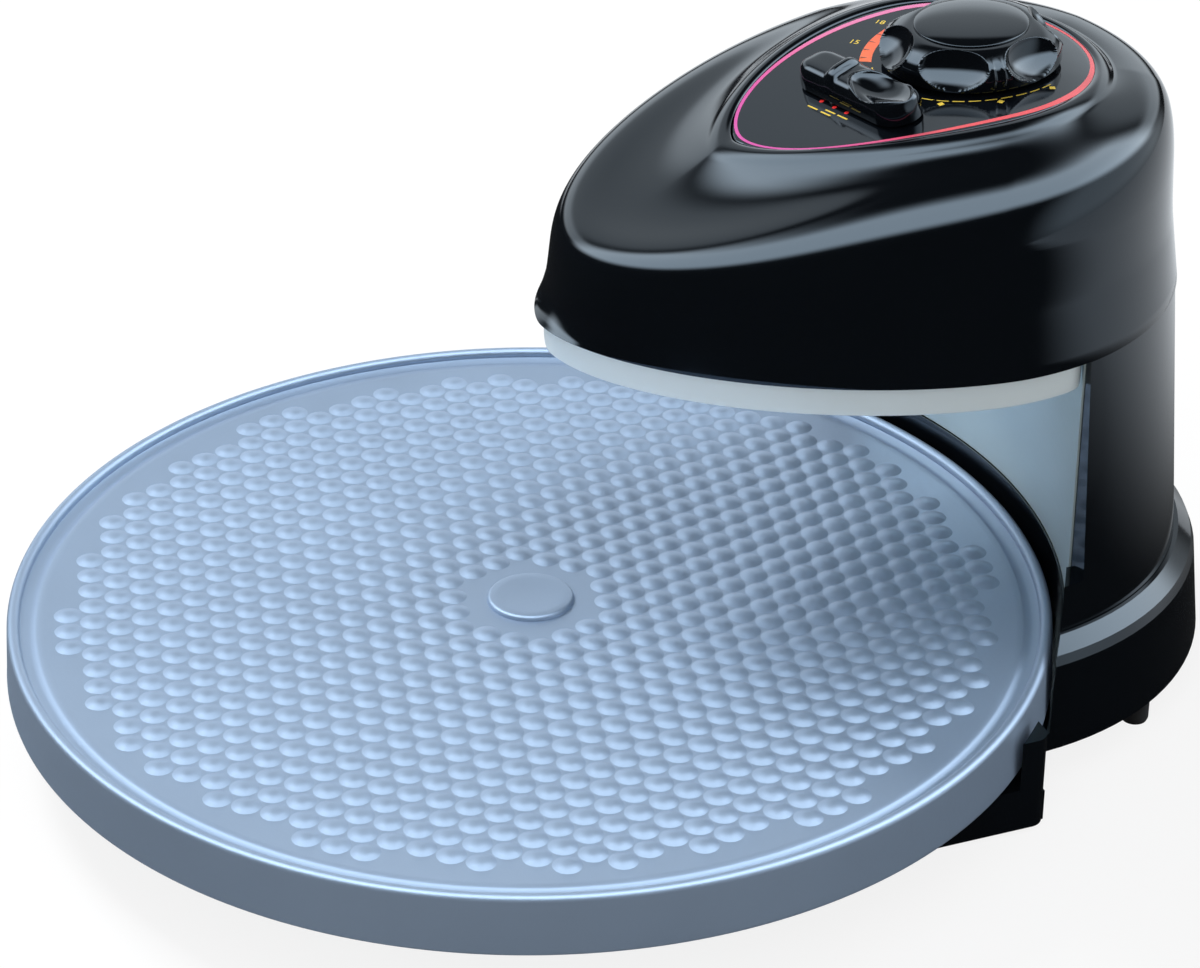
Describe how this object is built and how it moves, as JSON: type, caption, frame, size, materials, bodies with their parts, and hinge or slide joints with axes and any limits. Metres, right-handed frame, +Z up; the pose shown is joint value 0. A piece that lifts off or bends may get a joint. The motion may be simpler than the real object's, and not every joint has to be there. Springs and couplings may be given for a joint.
{
  "type": "electric pizza maker",
  "caption": "Countertop pizza maker: a flat pan turns on a low base under a fixed egg-shaped heated head on a rear column, with a timer knob and a heat selector on top.",
  "frame": {"origin": "Centre of the footprint at table height", "axes": "+Z up, +Y towards the column at the back, +X to the right seen from the front"},
  "size_m": [0.332, 0.3955, 0.2154],
  "materials": {
    "shell_black": "glossy black moulded plastic",
    "knob_black": "glossy black moulded plastic",
    "panel_face": "dark glossy printed panel",
    "pan_metal": "satin coated steel with a blue-grey sheen",
    "liner_metal": "pale satin sheet metal",
    "lip_metal": "bright satin aluminium",
    "sheet_steel": "plated sheet steel",
    "fastener_steel": "plated steel",
    "heater_sheath": "dark oxidised heater sheath",
    "rubber_black": "matt black rubber",
    "plastic_black": "matt black plastic",
    "ceramic_white": "pale heat-proof moulding",
    "button_red": "dull red plastic"
  },
  "bodies": {
    "base": {"base_housing": "shell_black", "base_plate": "sheet_steel", "rear_plate": "sheet_steel", "rear_feet": "rubber_black", "front_pads": "rubber_black", "base_screws": "fastener_steel", "drive_motor": "sheet_steel", "motor_screws": "fastener_steel", "lower_reflector": "lip_metal", "lower_element": "heater_sheath", "lower_clips": "sheet_steel", "reset_switch": "plastic_black", "cord_grommet": "rubber_black", "terminal_block": "ceramic_white", "column_shell": "shell_black", "column_liner": "liner_metal", "column_frame": "sheet_steel", "column_screws": "fastener_steel", "upper_reflector": "lip_metal", "upper_element": "heater_sheath", "upper_clips": "sheet_steel", "thermal_cutout": "ceramic_white", "head_bracket": "sheet_steel", "head_shell": "shell_black", "control_panel": "panel_face", "timer_body": "sheet_steel", "timer_bell": "sheet_steel", "timer_nut": "fastener_steel", "selector_switch": "ceramic_white", "selector_nut": "fastener_steel"},
    "hub": {"drive_shaft": "fastener_steel", "drive_hub": "plastic_black"},
    "pan": {"pan": "pan_metal", "pan_cap": "pan_metal", "pan_socket": "fastener_steel"},
    "timer": {"timer_knob": "knob_black", "timer_shaft": "fastener_steel"},
    "selector": {"selector_knob": "knob_black", "selector_shaft": "fastener_steel"},
    "reset": {"reset_button": "button_red"}
  },
  "joints": [
    {"name": "pan_turn", "type": "hinge", "parent": "base", "child": "hub", "pos_m": [0, -0.03075, 0.027], "axis": [0, 0, 1], "continuous": true},
    {"name": "pan_lift", "type": "slide", "parent": "hub", "child": "pan", "axis": [0, 0, 1], "range_m": [0, 0.015]},
    {"name": "timer_turn", "type": "hinge", "parent": "base", "child": "timer", "pos_m": [0, 0.11475, 0.20152], "axis": [0, -0.051, 0.9987], "range_deg": [0, 300]},
    {"name": "selector_turn", "type": "hinge", "parent": "base", "child": "selector", "pos_m": [0, 0.07275, 0.19632], "axis": [0, -0.1939, 0.981], "range_deg": [-15, 15]},
    {"name": "reset_press", "type": "slide", "parent": "base", "child": "reset", "axis": [0.454, -0.891, 0], "range_m": [0, 0.0025], "stiffness_N_per_m": 400}
  ]
}
